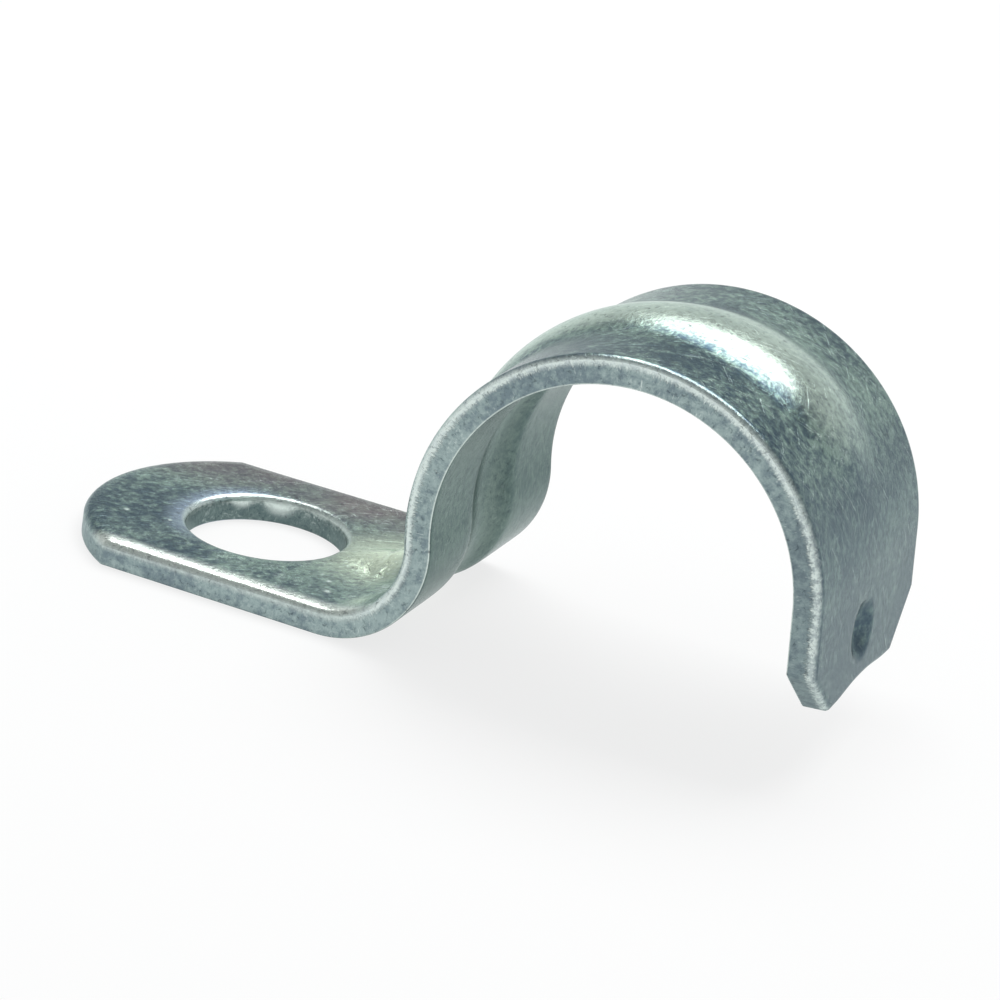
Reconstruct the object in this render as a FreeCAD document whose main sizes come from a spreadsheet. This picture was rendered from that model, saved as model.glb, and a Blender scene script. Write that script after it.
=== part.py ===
import FreeCAD, Part
import math
import os

import Sketcher

# One-hole conduit strap for half-inch thin-wall conduit, folded from one zinc-plated steel strip.
#
# Frame, in millimetres: the origin is the centre of the screw hole on the mounting face, +X runs along
# the strap from the foot to the nose, +Y across the strip, and +Z away from the mounting surface.
# The conduit lies along Y in the saddle.

doc = FreeCAD.newDocument("conduit_strap")

# ---------------------------------------------------------------- driving dimensions

SIZES = (
    ("strip_width", 15.0, "width of the steel strip"),
    ("strip_thickness", 1.42, "thickness of the steel strip"),
    ("hole_diameter", 8.15, "screw hole"),
    ("foot_end_radius", 9.0, "round end of the foot"),
    ("foot_end_offset", 0.3, "centre of that round end, from the screw hole away from the saddle"),
    ("foot_bend_radius", 5.3, "underside radius of the bend between foot and saddle"),
    ("saddle_radius", 9.05, "conduit side of the saddle"),
    ("saddle_distance", 20.8, "screw hole to saddle axis, along the strap"),
    ("saddle_height", 7.55, "mounting face to saddle axis"),
    ("nose_angle", 5.7, "degrees above the saddle axis at which the nose leaves the saddle arc"),
    ("nose_length", 5.6, "straight nose below the saddle arc"),
    ("nose_taper_length", 2.5, "how far up the nose its two corners are cut away"),
    ("nose_tip_width", 9.2, "width left at the tip"),
    ("nose_tip_hollow", 0.25, "depth of the shallow curve across the tip"),
    ("rib_height", 0.66, "how far the stiffening rib stands out"),
    ("rib_foot_width", 4.6, "rib width at the foot"),
    ("rib_nose_width", 7.2, "rib width where it ends above the nose"),
    ("rib_foot_angle", 15.0, "degrees at which the rib runs down into the foot"),
    ("rib_foot_runout", 4.0, "length of that straight run-out"),
    ("rib_nose_angle", 64.0, "degrees above the saddle axis at which the rib starts to sink away"),
    ("rib_nose_shift", 2.71, "how much tighter than the crest's own curve it sinks"),
    ("rib_nose_sweep", 54.0, "degrees of that sinking arc"),
    ("rib_end_angle", 36.0, "degrees above the saddle axis at which the rib no longer parts the saddle in two bands"),
    ("dimple_diameter", 3.2, "width of the grip dimple pressed into the nose"),
    ("dimple_depth", 0.75, "how deep the dimple is pressed"),
    ("dimple_drop", 2.8, "dimple centre below the end of the saddle arc, along the nose"),
    ("dimple_offset", 0.6, "dimple centre beside the middle of the strip"),
    ("bump_diameter", 2.4, "width of the bump the dimple raises on the conduit side"),
    ("bump_height", 0.4, "how far that bump stands out"),
    ("edge_roll", 0.3, "rounding that the shearing punch left on the outer edges"),
)

sheet = doc.addObject("Spreadsheet::Sheet", "Sizes")
for row, (alias, value, meaning) in enumerate(SIZES, start=1):
    sheet.set(f"A{row}", alias)
    sheet.set(f"B{row}", str(value))
    sheet.set(f"C{row}", meaning)
    sheet.setAlias(f"B{row}", alias)
doc.recompute()


def size(alias):
    """A driving dimension, read back from the sheet."""
    return float(sheet.get(alias))


def origin_plane(body, role):
    """One of the body's own origin planes, such as XZ_Plane."""
    return next(item for item in body.Origin.OriginFeatures if item.Role == role)


def sketch_on(body, role, name):
    """A new sketch that lies on one of the body's origin planes."""
    sketch = body.newObject("Sketcher::SketchObject", name)
    sketch.AttachmentSupport = [(origin_plane(body, role), "")]
    sketch.MapMode = "FlatFace"
    return sketch


def constrain(sketch, *arguments):
    """Add one geometric constraint."""
    return sketch.addConstraint(Sketcher.Constraint(*arguments))


def drive(sketch, name, expression, *arguments):
    """Add one dimension and bind it to an expression on the sheet."""
    sketch.renameConstraint(constrain(sketch, *arguments), name)
    sketch.setExpression(f"Constraints.{name}", expression)


def polar(centre, radius, angle):
    """The point at that angle, in radians, on a circle in a sketch."""
    return FreeCAD.Vector(centre.x + radius * math.cos(angle), centre.y + radius * math.sin(angle), 0)


def arc(centre, radius, start, end):
    """A counter-clockwise sketch arc between two angles in radians."""
    circle = Part.Circle(centre, FreeCAD.Vector(0, 0, 1), radius)
    return Part.ArcOfCircle(circle, start, end)


START, END, CENTRE = 1, 2, 3
X_AXIS, Y_AXIS, ORIGIN_POINT = -1, -2, -1

# Where the three curves of the strap's side view meet. The sketches solve the same points exactly.
saddle_centre = FreeCAD.Vector(size("saddle_distance"), size("saddle_height"), 0)
centre_distance = size("saddle_radius") + size("foot_bend_radius")
bend_height = size("saddle_height") - size("foot_bend_radius")
bend_reach = math.sqrt(centre_distance**2 - bend_height**2)
bend_centre = FreeCAD.Vector(size("saddle_distance") - bend_reach, size("foot_bend_radius"), 0)
turn_angle = math.atan2(bend_height, bend_reach)
nose_angle = math.radians(size("nose_angle"))
nose_down = FreeCAD.Vector(math.sin(nose_angle), -math.cos(nose_angle), 0)

strap = doc.addObject("PartDesign::Body", "Strap")
strap.Label = "strap"

# ---------------------------------------------------------------- the folded strip

(FOOT_UNDER, BEND_UNDER, SADDLE_IN, NOSE_IN, TIP, NOSE_OUT, SADDLE_OUT, BEND_OVER, FOOT_OVER, FOOT_END,
 SADDLE_END) = range(11)


def draw_side_view():
    """The strap seen along the conduit: two parallel lines of lines and arcs, closed at foot and nose."""
    sketch = sketch_on(strap, "XZ_Plane", "SideView")
    thickness = size("strip_thickness")
    inner = size("saddle_radius")
    under = size("foot_bend_radius")
    foot_x = -size("foot_end_radius") - size("foot_end_offset")
    rib_end = math.radians(size("rib_end_angle"))
    nose_in = polar(saddle_centre, inner, nose_angle)
    nose_out = polar(saddle_centre, inner + thickness, nose_angle)
    tip_in = nose_in + nose_down * size("nose_length")
    tip_out = nose_out + nose_down * size("nose_length")
    foot_low = FreeCAD.Vector(foot_x, 0, 0)
    foot_high = FreeCAD.Vector(foot_x, thickness, 0)
    bend_low = polar(bend_centre, under, -math.pi / 2)
    bend_high = polar(bend_centre, under - thickness, -math.pi / 2)
    sketch.addGeometry([
        Part.LineSegment(foot_low, bend_low),
        arc(bend_centre, under, -math.pi / 2, turn_angle),
        arc(saddle_centre, inner, rib_end, turn_angle + math.pi),
        Part.LineSegment(nose_in, tip_in),
        Part.LineSegment(tip_in, tip_out),
        Part.LineSegment(tip_out, nose_out),
        arc(saddle_centre, inner + thickness, nose_angle, turn_angle + math.pi),
        arc(bend_centre, under - thickness, -math.pi / 2, turn_angle),
        Part.LineSegment(bend_high, foot_high),
        Part.LineSegment(foot_high, foot_low),
        arc(saddle_centre, inner, nose_angle, rib_end),
    ])
    constrain(sketch, "Tangent", FOOT_UNDER, END, BEND_UNDER, START)
    constrain(sketch, "Tangent", BEND_UNDER, END, SADDLE_IN, END)
    constrain(sketch, "Coincident", SADDLE_IN, START, SADDLE_END, END)
    constrain(sketch, "Coincident", SADDLE_IN, CENTRE, SADDLE_END, CENTRE)
    constrain(sketch, "Tangent", SADDLE_END, START, NOSE_IN, START)
    constrain(sketch, "Coincident", NOSE_IN, END, TIP, START)
    constrain(sketch, "Coincident", TIP, END, NOSE_OUT, START)
    constrain(sketch, "Tangent", NOSE_OUT, END, SADDLE_OUT, START)
    constrain(sketch, "Tangent", SADDLE_OUT, END, BEND_OVER, END)
    constrain(sketch, "Tangent", BEND_OVER, START, FOOT_OVER, START)
    constrain(sketch, "Coincident", FOOT_OVER, END, FOOT_END, START)
    constrain(sketch, "Coincident", FOOT_END, END, FOOT_UNDER, START)
    constrain(sketch, "Coincident", SADDLE_OUT, CENTRE, SADDLE_IN, CENTRE)
    constrain(sketch, "Coincident", BEND_OVER, CENTRE, BEND_UNDER, CENTRE)
    constrain(sketch, "Horizontal", FOOT_UNDER)
    constrain(sketch, "Horizontal", FOOT_OVER)
    constrain(sketch, "Vertical", FOOT_END)
    constrain(sketch, "Perpendicular", NOSE_IN, TIP)
    constrain(sketch, "Parallel", NOSE_IN, NOSE_OUT)
    constrain(sketch, "PointOnObject", FOOT_UNDER, START, X_AXIS)
    drive(sketch, "foot_reach", "Sizes.foot_end_radius + Sizes.foot_end_offset", "DistanceX",
          FOOT_UNDER, START, ORIGIN_POINT, 1, -foot_x)
    drive(sketch, "thickness", "Sizes.strip_thickness", "DistanceY", FOOT_END, END, FOOT_END, START, thickness)
    drive(sketch, "bend", "Sizes.foot_bend_radius", "Radius", BEND_UNDER, under)
    drive(sketch, "saddle", "Sizes.saddle_radius", "Radius", SADDLE_IN, inner)
    drive(sketch, "axis_distance", "Sizes.saddle_distance", "DistanceX", ORIGIN_POINT, 1, SADDLE_IN, CENTRE,
          saddle_centre.x)
    drive(sketch, "axis_height", "Sizes.saddle_height", "DistanceY", ORIGIN_POINT, 1, SADDLE_IN, CENTRE,
          saddle_centre.y)
    drive(sketch, "nose_start", "Sizes.saddle_radius * sin(Sizes.nose_angle * 1 deg)", "DistanceY",
          SADDLE_END, CENTRE, SADDLE_END, START, nose_in.y - saddle_centre.y)
    drive(sketch, "saddle_end", "Sizes.saddle_radius * sin(Sizes.rib_end_angle * 1 deg)", "DistanceY",
          SADDLE_IN, CENTRE, SADDLE_IN, START, inner * math.sin(rib_end))
    drive(sketch, "nose", "Sizes.nose_length", "Distance", NOSE_IN, START, NOSE_IN, END, size("nose_length"))
    return sketch


side_view = draw_side_view()
doc.recompute()
strip = strap.newObject("PartDesign::Pad", "Strip")
strip.Refine = False
strip.Profile = side_view
strip.SideType = "Symmetric"
strip.setExpression("Length", "Sizes.strip_width")
doc.recompute()

# ---------------------------------------------------------------- the pressed rib

RUN_OUT, BEND_RIB, SADDLE_RIB, SINK = range(4)


def draw_rib_line():
    """The crest of the rib on the conduit side, from the foot, over the saddle, to above the nose."""
    sketch = sketch_on(strap, "XZ_Plane", "RibLine")
    height = size("rib_height")
    foot_angle = math.radians(size("rib_foot_angle"))
    start_angle = math.radians(size("rib_nose_angle"))
    sweep = math.radians(size("rib_nose_sweep"))
    bend_radius = size("foot_bend_radius") - height
    saddle_radius = size("saddle_radius") + height
    sink_radius = saddle_radius - size("rib_nose_shift")
    bend_start = polar(bend_centre, bend_radius, foot_angle - math.pi / 2)
    downhill = FreeCAD.Vector(-math.cos(foot_angle), -math.sin(foot_angle), 0)
    sink_centre = polar(saddle_centre, saddle_radius - sink_radius, start_angle)
    sketch.addGeometry([
        Part.LineSegment(bend_start + downhill * size("rib_foot_runout"), bend_start),
        arc(bend_centre, bend_radius, foot_angle - math.pi / 2, turn_angle),
        arc(saddle_centre, saddle_radius, start_angle, turn_angle + math.pi),
        arc(sink_centre, sink_radius, start_angle - sweep, start_angle),
    ])
    constrain(sketch, "Tangent", RUN_OUT, END, BEND_RIB, START)
    constrain(sketch, "Tangent", BEND_RIB, END, SADDLE_RIB, END)
    constrain(sketch, "Tangent", SADDLE_RIB, START, SINK, END)
    drive(sketch, "axis_distance", "Sizes.saddle_distance", "DistanceX", ORIGIN_POINT, 1, SADDLE_RIB, CENTRE,
          saddle_centre.x)
    drive(sketch, "axis_height", "Sizes.saddle_height", "DistanceY", ORIGIN_POINT, 1, SADDLE_RIB, CENTRE,
          saddle_centre.y)
    drive(sketch, "bend_height", "Sizes.foot_bend_radius", "DistanceY", ORIGIN_POINT, 1, BEND_RIB, CENTRE,
          bend_centre.y)
    drive(sketch, "saddle", "Sizes.saddle_radius + Sizes.rib_height", "Radius", SADDLE_RIB, saddle_radius)
    drive(sketch, "bend", "Sizes.foot_bend_radius - Sizes.rib_height", "Radius", BEND_RIB, bend_radius)
    drive(sketch, "foot_slope", "Sizes.rib_foot_angle * 1 deg", "Angle", X_AXIS, 1, RUN_OUT, START, foot_angle)
    drive(sketch, "run_out", "Sizes.rib_foot_runout", "Distance", RUN_OUT, START, RUN_OUT, END,
          size("rib_foot_runout"))
    drive(sketch, "sink_start", "(Sizes.saddle_radius + Sizes.rib_height) * sin(Sizes.rib_nose_angle * 1 deg)",
          "DistanceY", SADDLE_RIB, CENTRE, SADDLE_RIB, START, saddle_radius * math.sin(start_angle))
    drive(sketch, "sink", "Sizes.saddle_radius + Sizes.rib_height - Sizes.rib_nose_shift", "Radius",
          SINK, sink_radius)
    drive(sketch, "sink_turn", "Sizes.rib_nose_sweep * 1 deg", "Angle", SINK, sweep)
    return sketch


rib_line = draw_rib_line()
doc.recompute()

CREST, FIRST_SIDE, BOTTOM, SECOND_SIDE = range(4)
ROOT = 0.35  # how deep the crest is rooted in the sheet, in sheet thicknesses
SHOULDER = 1.25  # how far down its round side the crest goes before the straight walls, in rib heights


def draw_rib_section(name, edge, along, width_name, on_top):
    """The rib's rounded crest across the strip: on top of the sheet, or the hollow that follows it below."""
    sketch = strap.newObject("Sketcher::SketchObject", name)
    sketch.AttachmentSupport = [(rib_line, edge)]
    sketch.MapMode = "NormalToEdge"
    sketch.MapPathParameter = along
    height = size("rib_height")
    thickness = size("strip_thickness")
    radius = (size(width_name)**2 / 4 + height**2) / (2 * height)
    radius_expression = f"(Sizes.{width_name}^2 / 4 + Sizes.rib_height^2) / (2 * Sizes.rib_height)"
    lift, lift_expression = thickness, "Sizes.strip_thickness"
    depth, depth_expression = height + thickness * ROOT, f"Sizes.rib_height + Sizes.strip_thickness * {ROOT}"
    if not on_top:
        radius -= thickness
        radius_expression = f"{radius_expression} - Sizes.strip_thickness"
        lift, lift_expression = 0.0, "0 * Sizes.strip_thickness"
        depth, depth_expression = height + thickness, "Sizes.rib_height + Sizes.strip_thickness"
    shoulder = height * SHOULDER
    centre = FreeCAD.Vector(0, lift - radius, 0)
    half_angle = math.acos(1 - shoulder / radius)
    right = polar(centre, radius, math.pi / 2 - half_angle)
    left = polar(centre, radius, math.pi / 2 + half_angle)
    low_left = FreeCAD.Vector(left.x, lift - depth, 0)
    low_right = FreeCAD.Vector(right.x, lift - depth, 0)
    sketch.addGeometry([
        arc(centre, radius, math.pi / 2 - half_angle, math.pi / 2 + half_angle),
        Part.LineSegment(left, low_left),
        Part.LineSegment(low_left, low_right),
        Part.LineSegment(low_right, right),
    ])
    constrain(sketch, "Coincident", CREST, END, FIRST_SIDE, START)
    constrain(sketch, "Coincident", FIRST_SIDE, END, BOTTOM, START)
    constrain(sketch, "Coincident", BOTTOM, END, SECOND_SIDE, START)
    constrain(sketch, "Coincident", SECOND_SIDE, END, CREST, START)
    constrain(sketch, "PointOnObject", CREST, CENTRE, Y_AXIS)
    constrain(sketch, "Symmetric", CREST, START, CREST, END, Y_AXIS)
    constrain(sketch, "Vertical", FIRST_SIDE)
    constrain(sketch, "Vertical", SECOND_SIDE)
    constrain(sketch, "Horizontal", BOTTOM)
    drive(sketch, "crest_radius", radius_expression, "Radius", CREST, radius)
    drive(sketch, "centre_depth", f"{radius_expression} - ({lift_expression})", "DistanceY",
          CREST, CENTRE, ORIGIN_POINT, 1, radius - lift)
    drive(sketch, "shoulder_height", f"{radius_expression} - Sizes.rib_height * {SHOULDER}", "DistanceY",
          CREST, CENTRE, CREST, START, radius - shoulder)
    drive(sketch, "depth", f"{depth_expression} - Sizes.rib_height * {SHOULDER}", "DistanceY",
          FIRST_SIDE, END, FIRST_SIDE, START, depth - shoulder)
    return sketch


def press_rib(kind, name, on_top):
    """The rib's section swept along its line, widening from the foot to the nose."""
    foot_section = draw_rib_section(f"{name}FootSection", "Edge1", 0.0, "rib_foot_width", on_top)
    nose_section = draw_rib_section(f"{name}NoseSection", "Edge4", 0.0, "rib_nose_width", on_top)
    doc.recompute()
    pipe = strap.newObject(kind, name)
    pipe.Refine = False
    pipe.Profile = foot_section
    pipe.Spine = (rib_line, [])
    pipe.Sections = [nose_section]
    pipe.Transformation = "Multisection"
    pipe.Mode = "Standard"
    doc.recompute()
    return pipe
crest = press_rib("PartDesign::AdditivePipe", "Crest", True)
groove = press_rib("PartDesign::SubtractivePipe", "Groove", False)

# ---------------------------------------------------------------- cuts

def draw_foot_waste():
    """What is cut away around the round end of the foot."""
    sketch = sketch_on(strap, "XY_Plane", "FootWaste")
    radius = size("foot_end_radius")
    half = size("strip_width") / 2
    margin = size("strip_thickness")
    offset = size("foot_end_offset")
    spread = math.asin(half / radius)
    corner = FreeCAD.Vector(-offset - radius * math.cos(spread), half, 0)
    outside_x = -offset - radius - margin
    outside_y = half + margin
    points = [
        FreeCAD.Vector(corner.x, -half, 0),
        FreeCAD.Vector(corner.x, -outside_y, 0),
        FreeCAD.Vector(outside_x, -outside_y, 0),
        FreeCAD.Vector(outside_x, outside_y, 0),
        FreeCAD.Vector(corner.x, outside_y, 0),
        corner,
    ]
    sketch.addGeometry(arc(FreeCAD.Vector(-offset, 0, 0), radius, math.pi - spread, math.pi + spread))
    sketch.addGeometry([Part.LineSegment(a, b) for a, b in zip(points, points[1:])])
    constrain(sketch, "PointOnObject", 0, CENTRE, X_AXIS)
    constrain(sketch, "Coincident", 0, END, 1, START)
    for line in range(1, 5):
        constrain(sketch, "Coincident", line, END, line + 1, START)
    constrain(sketch, "Coincident", 5, END, 0, START)
    for line, kind in enumerate(("Vertical", "Horizontal", "Vertical", "Horizontal", "Vertical"), start=1):
        constrain(sketch, kind, line)
    drive(sketch, "round_end", "Sizes.foot_end_radius", "Radius", 0, radius)
    drive(sketch, "centre", "Sizes.foot_end_offset", "DistanceX", 0, CENTRE, ORIGIN_POINT, 1, offset)
    drive(sketch, "near_side", "Sizes.strip_width / 2", "DistanceY", 0, END, ORIGIN_POINT, 1, half)
    drive(sketch, "far_side", "Sizes.strip_width / 2", "DistanceY", ORIGIN_POINT, 1, 0, START, half)
    drive(sketch, "near_margin", "Sizes.strip_thickness", "DistanceY", 1, END, 1, START, margin)
    drive(sketch, "far_margin", "Sizes.strip_thickness", "DistanceY", 5, END, 5, START, margin)
    drive(sketch, "end_margin", "Sizes.foot_end_radius + Sizes.strip_thickness", "DistanceX",
          3, START, 0, CENTRE, radius + margin)
    return sketch


foot_waste = draw_foot_waste()
doc.recompute()
foot_round = strap.newObject("PartDesign::Pocket", "FootRound")
foot_round.Refine = False
foot_round.Profile = foot_waste
foot_round.Reversed = True
foot_round.setExpression("Length", "2 * Sizes.strip_thickness")
doc.recompute()

hole_circle = sketch_on(strap, "XY_Plane", "HoleCircle")
hole_circle.addGeometry(Part.Circle(FreeCAD.Vector(0, 0, 0), FreeCAD.Vector(0, 0, 1), size("hole_diameter") / 2))
constrain(hole_circle, "Coincident", 0, CENTRE, ORIGIN_POINT, 1)
drive(hole_circle, "hole", "Sizes.hole_diameter", "Diameter", 0, size("hole_diameter"))
screw_hole = strap.newObject("PartDesign::Pocket", "ScrewHole")
screw_hole.Refine = False
screw_hole.Profile = hole_circle
screw_hole.Reversed = True
screw_hole.setExpression("Length", "2 * Sizes.strip_thickness")
doc.recompute()


def draw_tip_waste():
    """What is cut away beside and below the tapered tip, seen from the nose."""
    sketch = sketch_on(strap, "YZ_Plane", "TipWaste")
    sketch.setExpression("AttachmentOffset.Base.z", "Sizes.saddle_distance")
    half = size("strip_width") / 2
    half_tip = size("nose_tip_width") / 2
    margin = size("strip_thickness")
    hollow = size("nose_tip_hollow")
    lean = math.sin(nose_angle)
    tip_low = saddle_centre.y + size("saddle_radius") * lean - size("nose_length") * math.cos(nose_angle)
    tip_high = tip_low + size("strip_thickness") * lean
    shoulder = tip_low + size("nose_taper_length")
    rise = tip_high - tip_low + hollow
    curve_radius = (half_tip**2 + rise**2) / (2 * rise)
    curve_centre = FreeCAD.Vector(0, tip_low + rise - curve_radius, 0)
    spread = math.asin(half_tip / curve_radius)
    points = [
        FreeCAD.Vector(half_tip, tip_low, 0),
        FreeCAD.Vector(half, shoulder, 0),
        FreeCAD.Vector(half + margin, shoulder, 0),
        FreeCAD.Vector(half + margin, tip_low - margin, 0),
        FreeCAD.Vector(-half - margin, tip_low - margin, 0),
        FreeCAD.Vector(-half - margin, shoulder, 0),
        FreeCAD.Vector(-half, shoulder, 0),
        FreeCAD.Vector(-half_tip, tip_low, 0),
    ]
    sketch.addGeometry(arc(curve_centre, curve_radius, math.pi / 2 - spread, math.pi / 2 + spread))
    sketch.addGeometry([Part.LineSegment(a, b) for a, b in zip(points, points[1:])])
    constrain(sketch, "Coincident", 0, START, 1, START)
    for line in range(1, 7):
        constrain(sketch, "Coincident", line, END, line + 1, START)
    constrain(sketch, "Coincident", 7, END, 0, END)
    for line in (2, 4, 6):
        constrain(sketch, "Horizontal", line)
    for line in (3, 5):
        constrain(sketch, "Vertical", line)
    constrain(sketch, "Symmetric", 0, START, 0, END, Y_AXIS)
    constrain(sketch, "Symmetric", 1, END, 7, START, Y_AXIS)
    low = ("Sizes.saddle_height + Sizes.saddle_radius * sin(Sizes.nose_angle * 1 deg)"
           " - Sizes.nose_length * cos(Sizes.nose_angle * 1 deg)")
    rise_expression = "(Sizes.strip_thickness * sin(Sizes.nose_angle * 1 deg) + Sizes.nose_tip_hollow)"
    drive(sketch, "tip", "Sizes.nose_tip_width", "DistanceX", 0, END, 0, START, 2 * half_tip)
    drive(sketch, "strip", "Sizes.strip_width", "DistanceX", 7, START, 1, END, 2 * half)
    drive(sketch, "tip_height", low, "DistanceY", ORIGIN_POINT, 1, 0, START, tip_low)
    drive(sketch, "taper", "Sizes.nose_taper_length", "DistanceY", 1, START, 1, END, size("nose_taper_length"))
    drive(sketch, "right_margin", "Sizes.strip_thickness", "DistanceX", 2, START, 2, END, margin)
    drive(sketch, "left_margin", "Sizes.strip_thickness", "DistanceX", 6, START, 6, END, margin)
    drive(sketch, "low_margin", "Sizes.strip_thickness", "DistanceY", 3, END, 0, START, margin)
    drive(sketch, "hollow", f"((Sizes.nose_tip_width / 2)^2 + {rise_expression}^2) / (2 * {rise_expression})",
          "Radius", 0, curve_radius)
    return sketch


tip_waste = draw_tip_waste()
doc.recompute()
nose_taper = strap.newObject("PartDesign::Pocket", "NoseTaper")
nose_taper.Refine = False
nose_taper.Profile = tip_waste
nose_taper.Reversed = True
nose_taper.setExpression("Length", "2 * Sizes.saddle_radius")
doc.recompute()

# ---------------------------------------------------------------- dimple

def sphere_on_nose(kind, name, width_name, height_name, depth_in_sheet):
    """A sphere standing on the nose, which shows as a cap of the given width and height."""
    ball = strap.newObject(kind, name)
    ball.Refine = False
    ball.AttachmentSupport = [(origin_plane(strap, "YZ_Plane"), "")]
    ball.MapMode = "FlatFace"
    radius = f"(((Sizes.{width_name} / 2)^2 + Sizes.{height_name}^2) / (2 * Sizes.{height_name}))"
    reach = f"(Sizes.saddle_radius + {depth_in_sheet} + {radius} - Sizes.{height_name})"
    turn = "(Sizes.nose_angle * 1 deg)"
    ball.setExpression("Radius", radius)
    ball.setExpression("AttachmentOffset.Base.x", "-Sizes.dimple_offset")
    ball.setExpression("AttachmentOffset.Base.y",
                       f"Sizes.saddle_height + {reach} * sin{turn} - Sizes.dimple_drop * cos{turn}")
    ball.setExpression("AttachmentOffset.Base.z",
                       f"Sizes.saddle_distance + {reach} * cos{turn} + Sizes.dimple_drop * sin{turn}")
    return ball


BUMP_ROOT = 45.0  # degrees of latitude at which the bump's ball is cut off inside the sheet

bump = sphere_on_nose("PartDesign::AdditiveSphere", "DimpleBump", "bump_diameter", "bump_height", "0")
bump.AttachmentOffset = FreeCAD.Placement(
    bump.AttachmentOffset.Base, FreeCAD.Rotation(FreeCAD.Vector(1, 0, 0), 180 - size("nose_angle")))
bump.Angle1 = BUMP_ROOT
doc.recompute()
dimple = sphere_on_nose("PartDesign::SubtractiveSphere", "Dimple", "dimple_diameter", "dimple_depth",
                        "Sizes.strip_thickness")
doc.recompute()

# ---------------------------------------------------------------- edges

NEAR = 0.01  # millimetres within which two lengths count as the same
ALIGNED = 0.999  # cosine within which two directions count as the same


def is_outer(face):
    """Whether a face is part of the strap's outer side, away from the conduit."""
    surface = face.Surface
    thickness = size("strip_thickness")
    if isinstance(surface, Part.Plane):
        if abs(surface.Axis.z) > ALIGNED:
            return abs(surface.Position.z - thickness) < NEAR
        out = FreeCAD.Vector(math.cos(nose_angle), 0, math.sin(nose_angle))
        axis_point = FreeCAD.Vector(saddle_centre.x, 0, saddle_centre.y)
        reach = (surface.Position - axis_point).dot(out)
        return abs(surface.Axis.dot(out)) > ALIGNED and abs(reach - size("saddle_radius") - thickness) < NEAR
    if isinstance(surface, Part.Cylinder) and abs(surface.Axis.y) > ALIGNED:
        radii = (size("saddle_radius") + thickness, size("foot_bend_radius") - thickness)
        return any(abs(surface.Radius - radius) < NEAR for radius in radii)
    return False


def is_sheared(face):
    """Whether a face was cut by the punch, through the sheet."""
    if isinstance(face.Surface, Part.Plane):
        return not is_outer(face)
    return isinstance(face.Surface, Part.Cylinder) and abs(face.Surface.Axis.y) < ALIGNED


def rolled_edges(shape):
    """The names of the edges between the outer side and the sheared faces."""
    outer = [edge for face in shape.Faces if is_outer(face) for edge in face.Edges]
    sheared = [edge for face in shape.Faces if is_sheared(face) for edge in face.Edges]
    return [f"Edge{number}" for number, edge in enumerate(shape.Edges, start=1)
            if any(edge.isSame(other) for other in outer) and any(edge.isSame(other) for other in sheared)]


edge_roll = strap.newObject("PartDesign::Fillet", "EdgeRoll")
edge_roll.Refine = False
edge_roll.Base = (dimple, rolled_edges(dimple.Shape))
edge_roll.setExpression("Radius", "Sizes.edge_roll")

# ---------------------------------------------------------------- checks and export

doc.recompute()
for item in doc.Objects:
    assert not {"Invalid", "Error"} & set(item.State), item.Name
shape = strap.Shape
assert not shape.isNull() and shape.isValid() and len(shape.Solids) == 1
assert crest.Shape.Volume > strip.Shape.Volume
for before, after in ((crest, groove), (groove, foot_round), (foot_round, screw_hole), (screw_hole, nose_taper),
                      (bump, dimple), (dimple, edge_roll)):
    assert after.Shape.Volume < before.Shape.Volume, after.Name
os.makedirs("parts", exist_ok=True)
shape.exportStep(f"parts/{strap.Label}.step")
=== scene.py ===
import math

import bmesh
import bpy
from mathutils import Matrix, Vector


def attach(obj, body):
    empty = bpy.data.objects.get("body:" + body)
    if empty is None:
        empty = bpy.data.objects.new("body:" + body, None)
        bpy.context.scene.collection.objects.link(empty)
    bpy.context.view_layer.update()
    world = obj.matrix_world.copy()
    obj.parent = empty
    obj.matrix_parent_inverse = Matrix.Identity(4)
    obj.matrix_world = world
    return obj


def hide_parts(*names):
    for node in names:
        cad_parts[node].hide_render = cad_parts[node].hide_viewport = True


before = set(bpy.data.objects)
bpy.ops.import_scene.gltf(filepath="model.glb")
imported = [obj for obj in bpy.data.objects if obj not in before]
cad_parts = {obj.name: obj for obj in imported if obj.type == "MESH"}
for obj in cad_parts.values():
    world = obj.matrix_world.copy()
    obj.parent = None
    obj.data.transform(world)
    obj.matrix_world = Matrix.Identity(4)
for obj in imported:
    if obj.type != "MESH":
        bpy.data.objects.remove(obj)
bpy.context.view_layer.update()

# %% [markdown]
# ## How the strap is made here
# The real strap is one strip of zinc-plated steel. A press cuts a flat blank, then folds it between two
# dies that also draw up a stiffening rib and a small grip dimple. This lesson makes it in the same order.
# It could also be carved from the finished outline, but every mark that a press leaves is easy to place
# on the flat blank and hard to place on the folded strap. All lengths are in millimetres, and the mesh is
# scaled to metres when it is folded.

# %% Sizes shared with the CAD part, in millimetres
MM = 0.001
WIDTH = 15.0
THICK = 1.42
HOLE_R = 4.075
FOOT_R = 9.0
FOOT_X = -0.3
BEND_R = 5.3
SADDLE_R = 9.05
SADDLE_X = 20.8
SADDLE_Z = 7.55
NOSE_ANGLE = math.radians(5.7)
NOSE_LONG = 5.6
TAPER_LONG = 2.5
TIP_WIDTH = 9.2
TIP_HOLLOW = 0.25
OUTER_ROLL = 0.3
INNER_ROLL = 0.1
NEAR = 0.01

# %% [markdown]
# The blank's stations are its places along the sheet: the foot bend starts where the plate leaves the
# wall, the saddle starts where the two arcs touch, and the nose goes straight on from the saddle. The foot
# bend is measured on the sheet's lower side and the saddle on the middle of the sheet.

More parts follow.
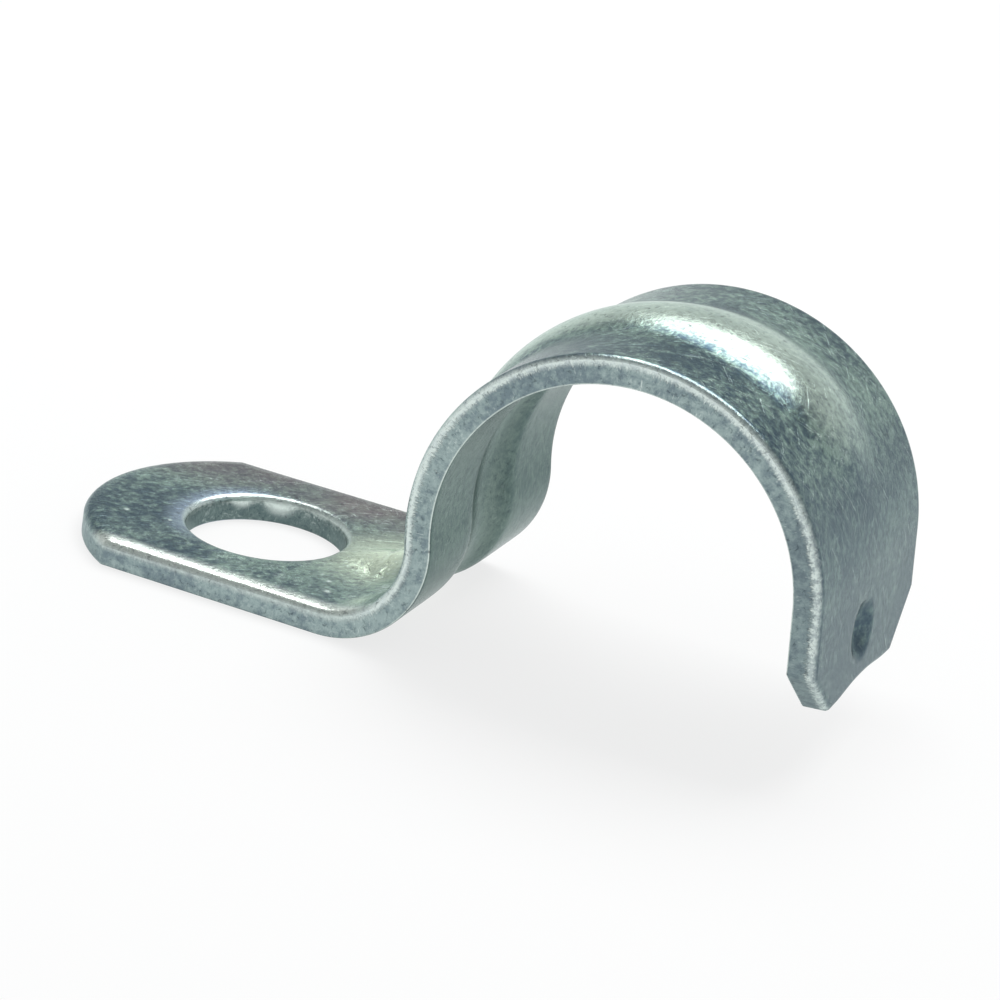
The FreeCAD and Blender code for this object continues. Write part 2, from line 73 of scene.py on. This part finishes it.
# %% Stations along the flat blank
reach = math.sqrt((SADDLE_R + BEND_R) ** 2 - (SADDLE_Z - BEND_R) ** 2)
TURN = math.atan2(SADDLE_Z - BEND_R, reach)
SADDLE_MID = SADDLE_R + THICK / 2
BEND_START = SADDLE_X - reach
BEND_END = BEND_START + BEND_R * (math.pi / 2 + TURN)
SADDLE_END = BEND_END + SADDLE_MID * (math.pi + TURN - NOSE_ANGLE)
TIP_END = SADDLE_END + NOSE_LONG
FOOT_EDGE = FOOT_X - FOOT_R
print("bend", round(BEND_START, 2), "to", round(BEND_END, 2), "| saddle to", round(SADDLE_END, 2))
print("flat blank:", WIDTH, "by", round(TIP_END - FOOT_EDGE, 1), "mm")

# %% [markdown]
# ## The flat blank
# The foot has a round end and a round hole, so a square grid would leave steps along both. Instead a ring
# of vertices round the hole is extruded outwards ring by ring until it meets the foot's outline, and the
# side of the last ring that faces the saddle is extruded on as the strip. One ray of the ring is moved to
# each corner where the round end meets a straight side, so that the corner stays sharp.

# %% The foot's outline
RAYS = 128
RINGS = 9
STRIP_START = WIDTH / 2
CELL = 0.36
end_corner = math.atan2(WIDTH / 2, FOOT_X - math.sqrt(FOOT_R**2 - (WIDTH / 2) ** 2))


def outline(angle):
    """How far the foot's outline lies from the middle of the hole in one direction."""
    across, along = abs(math.sin(angle)), math.cos(angle)
    side = WIDTH / 2 / across if across > 1e-6 else math.inf
    if along > 0:
        return min(side, STRIP_START / along)
    round_end = FOOT_X * along + math.sqrt(FOOT_R**2 - (FOOT_X * across) ** 2)
    return min(side, round_end)


print("outline, mm: to the end", round(outline(math.pi), 2), "to the corner", round(outline(end_corner), 2))

# %% Small helpers for bmesh results
def verts_in(geometry):
    return [g for g in geometry if isinstance(g, bmesh.types.BMVert)]


def edges_in(geometry):
    return [g for g in geometry if isinstance(g, bmesh.types.BMEdge)]


def put_on_ray(vert, angle, distance):
    vert.co.x = distance * math.cos(angle)
    vert.co.y = distance * math.sin(angle)


# %% Cut the foot
bm = bmesh.new()
bmesh.ops.create_circle(bm, segments=RAYS, radius=HOLE_R)
for v in bm.verts:
    angle = math.atan2(v.co.y, v.co.x)
    if abs(abs(angle) - end_corner) < math.pi / RAYS:
        put_on_ray(v, math.copysign(end_corner, angle), HOLE_R)
rim_edges = list(bm.edges)
for number in range(1, RINGS + 1):
    made = bmesh.ops.extrude_edge_only(bm, edges=rim_edges)["geom"]
    rim_edges = edges_in(made)
    for v in verts_in(made):
        angle = math.atan2(v.co.y, v.co.x)
        put_on_ray(v, angle, HOLE_R + (outline(angle) - HOLE_R) * number / RINGS)
print("foot:", len(bm.verts), "vertices,", len(bm.faces), "faces")

# %% Run the strip on from the foot
front = [e for e in rim_edges if all(v.co.x > STRIP_START - NEAR for v in e.verts)]
steps = round((TIP_END - STRIP_START) / CELL)
for number in range(1, steps + 1):
    made = bmesh.ops.extrude_edge_only(bm, edges=front)["geom"]
    front = edges_in(made)
    for v in verts_in(made):
        v.co.x = STRIP_START + (TIP_END - STRIP_START) * number / steps
print("blank:", len(bm.verts), "vertices,", len(bm.faces), "faces")

# %% [markdown]
# The nose's corners are cut in the same stroke. The vertices there move in to the slanted cuts, and the
# middle of the tip moves back into a shallow hollow. An eased step, flat at both ends, keeps the hollow
# from starting with a kink.

# %% Taper the nose
def smooth(t):
    """0 below 0, 1 above 1, and a curve between them that is flat at both ends."""
    t = min(max(t, 0.0), 1.0)
    return t * t * t * (t * (6 * t - 15) + 10)


for v in bm.verts:
    drop = v.co.x - (TIP_END - TAPER_LONG)
    if drop > 0:
        half = WIDTH / 2 - (WIDTH - TIP_WIDTH) / 2 * drop / TAPER_LONG
        v.co.y *= half / (WIDTH / 2)
        middle = smooth(1 - abs(v.co.y) / (TIP_WIDTH / 2))
        v.co.x -= TIP_HOLLOW * middle * smooth(drop / TAPER_LONG)
print("tip:", round(2 * max(v.co.y for v in bm.verts if v.co.x > TIP_END - NEAR), 2), "mm wide")

# %% [markdown]
# The sheet gets its thickness by extruding the whole face region upwards. The lower side is the one that
# will face the wall and the conduit.

# %% Give the sheet its thickness
made = bmesh.ops.extrude_face_region(bm, geom=list(bm.faces))["geom"]
bmesh.ops.translate(bm, vec=(0, 0, THICK), verts=verts_in(made))
bmesh.ops.recalc_face_normals(bm, faces=bm.faces)
bm.normal_update()
cut_edges = [e for e in bm.edges if any(abs(f.normal.z) < 0.5 for f in e.link_faces)]
print("sheet:", len(bm.faces), "faces,", len(cut_edges), "edges along its cut edge")

# %% [markdown]
# ## Rolled edges
# A shearing punch rolls the side that it enters and leaves the other side sharp, so the upper edges get a
# wide rounding and the edges towards the wall and the conduit a thin one. The bevel runs on the flat
# blank, where every edge is straight up or level. After it, the cut edge and then the whole sheet are
# divided once more, so that the folds come out round.

# %% Roll the edges
upper_edges = [e for e in cut_edges if all(v.co.z > THICK - NEAR for v in e.verts)]
lower_edges = [e for e in cut_edges if all(v.co.z < NEAR for v in e.verts)]
for sharp, roll, segments in ((upper_edges, OUTER_ROLL, 6), (lower_edges, INNER_ROLL, 2)):
    bmesh.ops.bevel(bm, geom=sharp, offset=roll, affect="EDGES", segments=segments, profile=0.5,
                    material=-1)
upright = [e for e in bm.edges if abs(e.verts[0].co.z - e.verts[1].co.z) > THICK / 2]
bmesh.ops.subdivide_edges(bm, edges=upright, cuts=2, use_grid_fill=True)
bmesh.ops.subdivide_edges(bm, edges=list(bm.edges), cuts=1, use_grid_fill=True)
print("after rolling:", len(bm.verts), "vertices,", len(bm.faces), "faces")

# %% [markdown]
# ## What the dies press up
# Each thing that the dies do to the sheet is a small function of the place on the flat blank: s along it,
# y across it and high above its lower side. Lattices or sculpting could do the same, but a formula gives
# the same shape every time and both sides of the sheet follow it together, as in a real press.
#
# The rib rises out of the foot, runs over the saddle at full height and sinks back above the nose. Its
# section is a parabola that widens towards the nose, and it meets the flat sheet in a soft line.

# %% The stiffening rib
RIB_HIGH = 0.64
RIB_START = 4.7
RIB_RISE = 0.24
RIB_SOFT = 0.16
RIB_SECTION = ((5.0, 4.3), (17.0, 4.3), (28.0, 4.6), (36.0, 8.0), (42.0, 10.5))
SINK_FROM = math.radians(64)
SINK_FULL = math.radians(80)
SINK_SHIFT = 2.71
SINK_R = SADDLE_R + RIB_HIGH - SINK_SHIFT


def between(s, table):
    """A value read off a short table of (place, value) pairs, eased from one to the next."""
    if s <= table[0][0]:
        return table[0][1]
    for (s0, v0), (s1, v1) in zip(table, table[1:]):
        if s < s1:
            t = (s - s0) / (s1 - s0)
            return v0 + (v1 - v0) * t * t * (3 - 2 * t)
    return table[-1][1]


def saddle_angle(s):
    """The angle above the saddle's axis of a place along the strip."""
    return math.pi + TURN - (s - BEND_END) / SADDLE_MID


def crest(s):
    """How high the middle of the rib stands, below zero where it has sunk into the sheet."""
    sunk = SINK_FROM - saddle_angle(s)
    if s > BEND_END and sunk > 0:
        sunk = min(sunk, SINK_FULL)
        chord = math.sqrt(SINK_R**2 - (SINK_SHIFT * math.sin(sunk)) ** 2)
        return SINK_SHIFT * math.cos(sunk) + chord - SADDLE_R
    return min((s - RIB_START) * RIB_RISE, RIB_HIGH)


def rib(s, y):
    """How far the rib lifts the sheet."""
    top = crest(s) - y * y / (2 * between(s, RIB_SECTION))
    return (top + math.sqrt(top * top + RIB_SOFT * RIB_SOFT)) / 2


print("rib, mm: on the riser", round(rib(14, 0), 2), "on the saddle", round(rib(30, 0), 2))

# %% [markdown]
# The punch that cuts the blank also draws the upper side down a little beside each cut: the die roll. On
# this strap it is deepest round the foot's end and fades towards the bend, and there is a little of it
# round the hole. It catches the long bright line along the foot, which the finish paints in as well.

# %% The die roll
ROLL_DEEP = 0.20
ROLL_WIDE = 0.95
ROLL_FADE = ((-6.0, 1.0), (11.0, 0.25))
HOLE_ROLL_DEEP = 0.10
HOLE_ROLL_WIDE = 0.8


def drawn(s, y, high):
    """How far the punch drew the upper side down beside the foot's cut edges."""
    if high < THICK / 2 or s > ROLL_FADE[-1][0]:
        return 0.0
    side = WIDTH / 2 - abs(y)
    if s < FOOT_X:
        side = min(side, FOOT_R - math.hypot(s - FOOT_X, y))
    from_hole = math.hypot(s, y) - HOLE_R
    outside = ROLL_DEEP * between(s, ROLL_FADE) * max(0.0, 1 - side / ROLL_WIDE) ** 2
    inside = HOLE_ROLL_DEEP * max(0.0, 1 - from_hole / HOLE_ROLL_WIDE) ** 2
    return (outside + inside) * smooth(2 * high / THICK - 1)


print("die roll at the foot's side:", round(drawn(-4, -WIDTH / 2, THICK), 2), "mm")

# %% [markdown]
# The grip dimple is punched into the nose from outside. It is deeper and wider on the side where the punch
# goes in, and leaves a low bump on the conduit side that keeps the conduit from sliding out.

# %% The grip dimple
DIMPLE_S = SADDLE_END + 2.8
DIMPLE_Y = -0.6
DIMPLE_WIDE = 1.2
DIMPLE_WIDER = 0.45
DIMPLE_DEEP = 0.4
DIMPLE_DEEPER = 0.35


def dimple(s, y, high):
    """How far the dimple pushes the nose in towards the conduit."""
    share = high / THICK
    t = math.hypot(s - DIMPLE_S, y - DIMPLE_Y) / (DIMPLE_WIDE + DIMPLE_WIDER * share)
    if t >= 1:
        return 0.0
    return (DIMPLE_DEEP + DIMPLE_DEEPER * share) * (1 - t * t) ** 2 * (1 + 0.6 * t * t)


print("dimple, mm: outside", round(dimple(DIMPLE_S, DIMPLE_Y, THICK), 2), "inside", DIMPLE_DEEP)

# %% [markdown]
# ## The fold
# Up to the foot bend the sheet stays flat. In the bend it turns up about a level axis above the foot, and
# then it goes over the saddle's axis and down again. The nose leaves the saddle in a straight line.

# %% Where a point of the blank ends up
def folded(s, y, high):
    """The place of a point of the blank once the dies have closed on it."""
    high += rib(s, y) - dimple(s, y, high) - drawn(s, y, high)
    if s <= BEND_START:
        return Vector((s, y, high))
    if s <= BEND_END:
        angle = (s - BEND_START) / BEND_R - math.pi / 2
        out = BEND_R - high
        return Vector((BEND_START + out * math.cos(angle), y, BEND_R + out * math.sin(angle)))
    angle = max(saddle_angle(s), NOSE_ANGLE)
    out = SADDLE_R + high
    place = Vector((SADDLE_X + out * math.cos(angle), y, SADDLE_Z + out * math.sin(angle)))
    if s > SADDLE_END:
        place += Vector((math.sin(NOSE_ANGLE), 0, -math.cos(NOSE_ANGLE))) * (s - SADDLE_END)
    return place


print("tip after folding, mm:", [round(c, 2) for c in folded(TIP_END, 0, THICK)])

# %% [markdown]
# Before the vertices move, each one keeps three facts for the finish: its place on the flat blank, how
# much of it is cut edge, and how far up the rib it lies. They are stored as attributes, which move with
# the mesh, so that scratches and torn edges follow the folds.

# %% Fold the strap
bm.normal_update()
sheet_layer = bm.verts.layers.float_vector.new("sheet")
sheared_layer = bm.verts.layers.float.new("sheared")
raised_layer = bm.verts.layers.float.new("raised")
for v in bm.verts:
    v[sheet_layer] = v.co
    v[sheared_layer] = 1 - abs(v.normal.z)
    v[raised_layer] = rib(v.co.x, v.co.y) / RIB_HIGH
for v in bm.verts:
    v.co = folded(v.co.x, v.co.y, v.co.z) * MM
bmesh.ops.recalc_face_normals(bm, faces=bm.faces)
for f in bm.faces:
    f.smooth = True

# %% Make it the strap's visible piece
mesh = bpy.data.meshes.new("strap_pressed")
bm.to_mesh(mesh)
bm.free()
strap = bpy.data.objects.new("strap_pressed", mesh)
bpy.context.scene.collection.objects.link(strap)
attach(strap, "root")
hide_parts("strap")
print("strap:", len(mesh.vertices), "vertices,", len(mesh.polygons), "faces")

# %% [markdown]
# ## Shader maths in plain sums
# A finish like this one is mostly sums of masks. Linking every Math node by hand is long and hard to read,
# so one small class wraps a node's output: sums written with it add the Math nodes by themselves, and one
# method makes any other node.

# %% A wire in a shader
class Wire:
    """One output of a shader node, which can be used in sums."""

    def __init__(self, tree, output=None):
        self.tree = tree
        self.output = output

    def feed(self, socket, value):
        """Link a wire to a socket, or set the socket to a plain value."""
        if isinstance(value, Wire):
            self.tree.links.new(value.output, socket)
        else:
            socket.default_value = value

    def node(self, kind, settings=None, sockets=None, out=0):
        """Add a node, with its settings set first and then its sockets fed."""
        made = self.tree.nodes.new(kind)
        for name, value in (settings or {}).items():
            if name == "stops":
                for stop, (position, colour) in zip(made.color_ramp.elements, value):
                    stop.position, stop.color = position, colour
            else:
                setattr(made, name, value)
        for socket, value in (sockets or {}).items():
            self.feed(made.inputs[socket], value)
        return Wire(self.tree, made.outputs[out])

    def maths(self, operation, first, second):
        return self.node("ShaderNodeMath", {"operation": operation}, {0: first, 1: second})

    def __add__(self, other):
        return self.maths("ADD", self, other)

    def __radd__(self, other):
        return self.maths("ADD", other, self)

    def __sub__(self, other):
        return self.maths("SUBTRACT", self, other)

    def __rsub__(self, other):
        return self.maths("SUBTRACT", other, self)

    def __mul__(self, other):
        return self.maths("MULTIPLY", self, other)

    def __rmul__(self, other):
        return self.maths("MULTIPLY", other, self)


# %% [markdown]
# ## The zinc finish
# Electroplated zinc is a bright, slightly blue-green metal with fine blotches, and it takes scuffs from
# lying loose in a box. The material is a plain metal whose colour, roughness and bump change over the
# surface, and part of its colour is painted highlight, sheen and shade. Fine patterns use the object's own
# coordinates in metres, and what belongs to the press uses the flat blank's millimetres.

# %% Start the steel
steel = bpy.data.materials.new("zinc_plated_steel")
steel.use_nodes = True
shader = steel.node_tree.nodes["Principled BSDF"]
shader.inputs["Metallic"].default_value = 1.0
shader.inputs["Specular Tint"].default_value = (0.82, 0.89, 0.88, 1)
start = Wire(steel.node_tree)


def stored(name, out):
    """One of the attributes that were stored before folding."""
    return start.node("ShaderNodeAttribute", {"attribute_name": name}, out=out)


def axis(vector, out):
    return start.node("ShaderNodeSeparateXYZ", sockets={0: vector}, out=out)


place = start.node("ShaderNodeTexCoord", out="Object")
sheet = stored("sheet", "Vector")
raised = stored("raised", "Fac")
along, across, depth = axis(sheet, "X"), axis(sheet, "Y"), axis(sheet, "Z")
wall = start.maths("MINIMUM", stored("sheared", "Fac") * 1.25, 1.0)
print("steel started with", len(steel.node_tree.nodes), "nodes")

# %% [markdown]
# Four helpers do most of the work: noise, noise stretched into streaks, an eased step from one value to
# another that turns a number into a mask, and a blend of two colours. The Mapping node is of the TEXTURE
# kind, because that one turns the pattern before it stretches it, so streaks can run aslant.

# %% Helpers for the finish
def noise(vector, scale, detail=3.0, rough=0.55, warp=0.0):
    return start.node("ShaderNodeTexNoise", sockets={"Vector": vector, "Scale": scale, "Detail": detail,
                                                     "Roughness": rough, "Distortion": warp}, out="Fac")


def stretched(lengths, turn=0.0):
    """The flat blank's coordinates, stretched to the streak's lengths in millimetres."""
    return start.node("ShaderNodeMapping", {"vector_type": "TEXTURE"},
                      {"Vector": sheet, "Scale": lengths, "Rotation": (0, 0, turn)})


def step(value, low, high):
    """0 at low, 1 at high and eased between, whichever of the two is the larger."""
    return start.node("ShaderNodeMapRange", {"interpolation_type": "SMOOTHSTEP"},
                      {"Value": value, "From Min": low, "From Max": high}, out="Result")


def blend(share, first, second):
    return start.node("ShaderNodeMix", {"data_type": "RGBA", "clamp_factor": True},
                      {0: share, 6: first, 7: second}, out=2)


# %% Patterns in the plating
cloud = noise(place, 150.0, 4.0)
drift = noise(place, 90.0, 2.0)
mottle = noise(place, 2300.0, 6.0, 0.72)
grain = noise(place, 5200.0, 3.0, 0.7)
spots = noise(place, 3200.0, 4.0, 0.75, 0.8)
crumbs = noise(place, 4200.0, 3.0, 0.75)
rolling = noise(stretched((3.3, 0.14, 1.0)), 2.2, 3.0)
scuffs = noise(stretched((4.5, 0.08, 1.0), 0.6), 1.7, 2.0)
scores = noise(stretched((5.0, 0.07, 1.0), -0.95), 2.0, 2.0)
tears = noise(stretched((0.2, 0.2, 2.0)), 2.0, 3.0)
scratch = step(scuffs, 0.67, 0.74) + step(scores, 0.69, 0.75)
patch = step(cloud * 0.6 + mottle * 0.9, 0.62, 0.94)
print("with its patterns:", len(steel.node_tree.nodes), "nodes")

# %% [markdown]
# The masks say where on the strap something is. A cut edge is smooth on its lower part and crumpled next to
# the rolled upper corner, where the zinc is worn bright and gets a painted highlight. The thin arris on the
# conduit side gets a painted highlight, and further masks mark where highlights and shade are painted.

# %% Where things are on the strap
on_foot = step(along, 11.0, 8.0)
on_saddle = 1 - on_foot
on_nose = step(along, SADDLE_END - 8.0, SADDLE_END - 3.0)
flat = 1 - wall
conduit_side = step(depth, 0.7, 0.4) * flat
# the stretch of the rib that gets a painted highlight: over the saddle, fading before the nose
rib_highlight_share = step(along, 16.0, 25.0) * (1 - step(along, SADDLE_END - 12.0, SADDLE_END - 6.5) * 0.7)
crumpled = step(depth + (tears - 0.5) * 0.9, 0.86, 1.02) * wall * (0.35 + 0.65 * on_saddle)
# the upper corner of the saddle's cut edge: worn zinc with a painted highlight on it, less on the nose
worn_and_highlit_corner = step(depth, 0.8, 1.3) * wall * on_saddle * (1 - on_nose * 0.5)
# a painted highlight on the thin arris of the riser's conduit side
arris_highlight = step(depth, 0.10, 0.03) * step(wall, 0.05, 0.3) * step(along, 7.0, 13.0)
# the band along the foot's near rolled edge that gets a painted highlight
roll_highlight_share = step(across, -WIDTH / 2 + 1.25, -WIDTH / 2 + 0.15) * step(depth, 0.7, 1.2) * on_foot
level_place = start.node("ShaderNodeCombineXYZ", sockets={"X": along, "Y": across})
from_hole = start.node("ShaderNodeVectorMath", {"operation": "LENGTH"}, {0: level_place}, out="Value")

# %% Single spots
def spot(s, y, radius, soft=1.0):
    """A ragged spot on the upper side: soft is the share of its radius that fades."""
    near = start.node("ShaderNodeVectorMath", {"operation": "DISTANCE"}, {0: sheet, 1: (s, y, THICK)},
                      out="Value")
    return step(near + (spots - 0.5) * (0.5 * radius), radius, radius * (1 - soft))


# %% [markdown]
# ## Colour, one layer over another
# A metal's base colour is what it mirrors with, so light and dark plating differ a lot in it. The layers go
# from broad to fine: the plating's own blotches and stains and the tones of the cut edge and the bore, then
# painted highlights, sheen and shade on parts of the strap, and then the small bright and dark marks.

# %% The colours of zinc
# Several of these colours are painted light: the rib's highlight, the nose's and the conduit side's shade,
# the foot's sheen, the bend's glare, the hole's sheen and the rolled edge's highlight; the worn corner and
# the bright marks are partly painted highlight.
BLUE_BLACK = (0.046, 0.086, 0.124, 1)
GREY_GREEN = (0.31, 0.43, 0.375, 1)
PINK_STAIN = (0.25, 0.175, 0.19, 1)
PAINTED_RIB_HIGHLIGHT = (0.66, 0.78, 0.69, 1)
PAINTED_NOSE_SHADE = (0.060, 0.092, 0.120, 1)
PAINTED_CONDUIT_SIDE_SHADE = (0.080, 0.122, 0.112, 1)
CUT_STEEL = (0.36, 0.45, 0.46, 1)
DARK_BORE = (0.085, 0.135, 0.130, 1)
PAINTED_FOOT_SHEEN = (0.88, 1.0, 0.78, 1)
PAINTED_BEND_GLARE = (0.75, 0.90, 0.72, 1)
PAINTED_HOLE_SHEEN = (0.42, 0.52, 0.66, 1)
PAINTED_ROLL_HIGHLIGHT = (0.86, 0.92, 0.86, 1)
WORN_ZINC_AND_HIGHLIGHT = (0.86, 0.96, 0.94, 1)
BRIGHT_ZINC_AND_GLINT = (0.74, 0.84, 0.80, 1)
DARK_SPECK = (0.025, 0.040, 0.055, 1)

# %% The broad layers
base = blend(patch, BLUE_BLACK, GREY_GREEN)
pink_side = step(across, 1.0, 6.5) * on_foot * step(drift, 0.36, 0.55)
hole_wall = step(from_hole, HOLE_R + 0.4, HOLE_R + 0.2) * wall
# a painted bluish sheen round the hole, on its side towards the foot's end
hole_sheen_share = step(from_hole, HOLE_R + 1.5, HOLE_R + 0.1) * step(along, -1.0, -4.0) * flat
broad_layers = (
    (pink_side * 0.7, PINK_STAIN),
    # painted highlight along the rib, strongest over the saddle
    (step(raised, 0.10, 0.9) * (0.25 + 0.5 * rib_highlight_share + 0.2 * patch), PAINTED_RIB_HIGHLIGHT),
    # painted shade on the nose
    (on_nose * (0.95 - 0.3 * patch), PAINTED_NOSE_SHADE),
    # painted shade on the side that faces the wall and the conduit
    (conduit_side * 0.8, PAINTED_CONDUIT_SIDE_SHADE),
    (wall * (0.8 - 0.3 * on_nose) * (0.55 + 0.45 * patch), CUT_STEEL),
    (hole_wall * 0.75, DARK_BORE),
    # painted pale sheen on the foot beside the hole
    (on_foot * spot(7.0, 0.4, 5.6) * flat * 0.95, PAINTED_FOOT_SHEEN),
    # painted glare on the foot bend
    (spot(8.7, -5.9, 1.3) * flat * 0.7, PAINTED_BEND_GLARE),
    # painted bluish sheen round the hole
    (hole_sheen_share * 0.8, PAINTED_HOLE_SHEEN),
    # painted highlight along the foot's near rolled edge
    (roll_highlight_share * (1 - wall * 0.7), PAINTED_ROLL_HIGHLIGHT),
    # worn zinc and a painted highlight on the cut edge's upper corner
    (worn_and_highlit_corner * 0.9, WORN_ZINC_AND_HIGHLIGHT),
)
for share, colour in broad_layers:
    base = blend(share, base, colour)
print("broad layers:", len(broad_layers))

# %% [markdown]
# The fine marks are flecks all over, nicks at chosen places, scratches, the crumpled band and painted
# glints and highlights on the bend, the dimple, the bore, the hole's rim and the arris. They all take the
# same pale zinc colour, so they are added up and laid on once.

# %% Nicks and painted glints
SMALL_NICKS = ((-6.33, -3.28, 0.24), (-4.02, -2.96, 0.16), (5.6, -4.2, 0.22), (6.1, -5.4, 0.3),
               (13.2, 4.6, 0.3))
# a painted highlight along the hole's upper rim
nicks_and_glints = step(from_hole, HOLE_R + 0.38, HOLE_R + 0.12) * step(depth, 1.05, 1.3) * 0.6
for s, y, radius in SMALL_NICKS:
    nicks_and_glints = nicks_and_glints + spot(s, y, radius)
# painted glints on the foot bend, in the dimple and on the bore's far wall
bend_glints = (spot(9.3, -3.8, 1.0, 0.9) + spot(9.9, -4.7, 0.9, 0.9)) * step(spots, 0.42, 0.54)
dimple_glint = spot(DIMPLE_S - 0.3, DIMPLE_Y - 0.4, 0.9, 0.9) * step(spots, 0.46, 0.56) * 0.8
bore_glints = (spot(-2.9, 2.9, 0.9, 0.7) + spot(-1.2, 3.9, 1.2, 0.7)) * wall
nicks_and_glints = nicks_and_glints + bend_glints + dimple_glint + bore_glints
print("small nicks:", len(SMALL_NICKS))

# %% The fine marks
flecks = step(spots, 0.54, 0.70) * 0.35 + step(grain, 0.56, 0.74) * 0.2
flecks = flecks * (0.35 + step(cloud, 0.40, 0.66)) * (1 - conduit_side * 0.8) * (1 - on_nose * 0.8)
scratched = scratch * (0.25 + 0.25 * on_saddle) * (1 - conduit_side)
# the bright marks are partly real wear and partly painted glints and highlights
bright_marks_and_glints = flecks + nicks_and_glints + scratched + crumpled * step(crumbs, 0.40, 0.6) * 0.9 + arris_highlight * 0.9
base = blend(bright_marks_and_glints, base, BRIGHT_ZINC_AND_GLINT)
base = blend(step(spots + grain * 0.4, 0.66, 0.48) * 0.6, base, DARK_SPECK)
start.feed(shader.inputs["Base Color"], base)
print("with its colours:", len(steel.node_tree.nodes), "nodes")

# %% [markdown]
# ## Roughness and bump
# The plating is nearly a mirror, duller on the cut edge. The bump is a few hundredths of a millimetre: the
# strip's rolling lines and pits on the flats, less of them on the rib, where the die stretched the sheet
# smooth, and crumpled metal on the cut edge.

# %% Roughness and bump
start.feed(shader.inputs["Roughness"], 0.11 + cloud * 0.08 + grain * 0.08 + wall * 0.12)
stretched_smooth = 1 - step(raised, 0.3, 0.9) * 0.6
flat_relief = (spots * 0.7 + mottle * 0.5 + rolling * 0.3 - scratch * 0.25) * stretched_smooth
edge_relief = tears * 1.3 + crumpled * crumbs * 2.2 + grain * 0.3
relief = flat_relief * flat + edge_relief * wall
bump = start.node("ShaderNodeBump", sockets={"Height": relief, "Strength": 0.5, "Distance": 0.06 * MM})
start.feed(shader.inputs["Normal"], bump)
mesh.materials.append(steel)
print("finished steel:", len(steel.node_tree.nodes), "nodes")

# %% [markdown]
# ## The floor
# The floor is chalk white paper. Lamps bright enough to make it pure white would wash out the metal, so
# most of the white is an emission of strength 1 that only the camera and mirrored rays see, and the rest
# is the lit paper, which keeps the strap's soft shadow.

# %% Lay the floor
FLOOR_HALF = 1.5
WHITE_SHARE = 0.78
bm = bmesh.new()
bmesh.ops.create_grid(bm, x_segments=1, y_segments=1, size=FLOOR_HALF)
floor_mesh = bpy.data.meshes.new("floor")
bm.to_mesh(floor_mesh)
bm.free()
floor = bpy.data.objects.new("floor", floor_mesh)
bpy.context.scene.collection.objects.link(floor)

# %% Make it white
paper = bpy.data.materials.new("floor_white")
paper.use_nodes = True
chalk = paper.node_tree.nodes["Principled BSDF"]
chalk.inputs["Base Color"].default_value = (0.86, 0.86, 0.86, 1)
chalk.inputs["Roughness"].default_value = 0.9
page = Wire(paper.node_tree)
seen = page.node("ShaderNodeLightPath", out="Is Camera Ray")
for mirrored in ("Is Glossy Ray", "Is Transmission Ray"):
    seen = seen + page.node("ShaderNodeLightPath", out=mirrored)
white = page.node("ShaderNodeEmission", sockets={"Strength": 1.0})
lit = Wire(paper.node_tree, chalk.outputs["BSDF"])
mixed = page.node("ShaderNodeMixShader", sockets={0: seen * WHITE_SHARE, 1: lit, 2: white})
page.feed(paper.node_tree.nodes["Material Output"].inputs["Surface"], mixed)
floor_mesh.materials.append(paper)
print("floor:", 2 * FLOOR_HALF, "m square")

# %% [markdown]
# ## Light
# Metal shows what is round it. The world is white at the horizon and greyer overhead, so that the sides of
# the strap are light and its level faces darker, and one large soft lamp behind and above gives the white
# highlights along the rib and the rolled edge, which the steel's colour also paints in.

# %% The studio round it
world = bpy.data.worlds.new("studio")
bpy.context.scene.world = world
world.use_nodes = True
air = Wire(world.node_tree)
direction = air.node("ShaderNodeTexCoord", out="Generated")
upwards = air.node("ShaderNodeSeparateXYZ", sockets={0: direction}, out="Z")
HORIZON = (0.02, (1.0, 1.0, 1.0, 1))
OVERHEAD = (0.75, (0.36, 0.38, 0.38, 1))
sky = air.node("ShaderNodeValToRGB", {"stops": (HORIZON, OVERHEAD)}, {0: upwards})
background = world.node_tree.nodes["Background"]
air.feed(background.inputs["Color"], sky)
background.inputs["Strength"].default_value = 0.95

# %% The soft lamp
LAMP_PLACE = Vector((0.0, 0.145, 0.325))
LAMP_AIM = Vector((0.012, 0, 0.01))
LAMP_WATTS = 1.15
lamp_data = bpy.data.lights.new("key", "AREA")
lamp_data.shape = "RECTANGLE"
lamp_data.size = 0.34
lamp_data.size_y = 0.24
lamp_data.energy = LAMP_WATTS
lamp = bpy.data.objects.new("key", lamp_data)
bpy.context.scene.collection.objects.link(lamp)
lamp.location = LAMP_PLACE
aim = LAMP_AIM - LAMP_PLACE
lamp.rotation_euler = aim.to_track_quat("-Z", "Y").to_euler()
print("lamp:", round(aim.length, 3), "m from the strap")

# %% [markdown]
# ## Camera
# The strap is seen from one side, somewhat from its nose end and from above, with a long lens and a slight
# tilt. The camera's axes are worked out from the three angles: its line of sight first, then the level
# direction to its right, and last both turned by the tilt.

# %% Set up the camera
YAW = 0.3561
PITCH = -0.3635
ROLL = 0.1649
CAMERA_PLACE = Vector((69.515, -154.139, 69.051)) * MM
camera_data = bpy.data.cameras.new("camera")
camera_data.sensor_width = 36.0
camera_data.lens = 129.1
camera = bpy.data.objects.new("camera", camera_data)
bpy.context.scene.collection.objects.link(camera)
sight = Vector((-math.sin(YAW) * math.cos(PITCH), math.cos(YAW) * math.cos(PITCH), math.sin(PITCH)))
level = sight.cross(Vector((0, 0, 1))).normalized()
upright = level.cross(sight)
right = level * math.cos(ROLL) + upright * math.sin(ROLL)
top = upright * math.cos(ROLL) - level * math.sin(ROLL)
turned = Matrix((right, top, -sight)).transposed().to_4x4()
camera.matrix_world = Matrix.Translation(CAMERA_PLACE) @ turned
bpy.context.scene.camera = camera
bpy.context.scene.view_settings.view_transform = "Standard"
print("camera:", round(CAMERA_PLACE.length, 3), "m from the screw hole")
